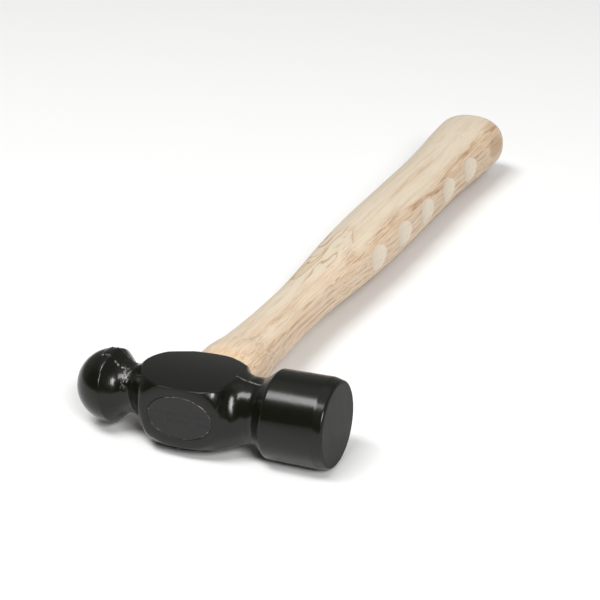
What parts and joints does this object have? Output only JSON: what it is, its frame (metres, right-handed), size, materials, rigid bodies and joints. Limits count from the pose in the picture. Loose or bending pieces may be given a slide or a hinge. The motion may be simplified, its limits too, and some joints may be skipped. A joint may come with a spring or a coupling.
{
  "type": "ball peen hammer",
  "caption": "Ball peen hammer: black steel head with a domed peen and a round striking face, wedged onto an oval, waisted wooden handle with finger scallops.",
  "frame": {"origin": "centre of the flat top of the head, on the handle's axis; lengths along the handle are measured from it", "axes": "+X out of the striking face along the head, +Y down the handle to its butt, +Z out of the upper cheek; the hammer lies on its side"},
  "size_m": [0.1165, 0.3917, 0.0384],
  "materials": {
    "head_lacquer": "black lacquer over a forged steel skin, semi-gloss",
    "handle_wood": "pale straight-grained hickory, sanded and lightly waxed",
    "wedge_wood": "hardwood, end painted over with the head",
    "wedge_steel": "plain steel, end painted over with the head"
  },
  "bodies": {
    "root": {"head": "head_lacquer", "handle": "handle_wood", "wooden_wedge": "wedge_wood", "steel_wedge_peen_side": "wedge_steel", "steel_wedge_poll_side": "wedge_steel"}
  },
  "joints": []
}
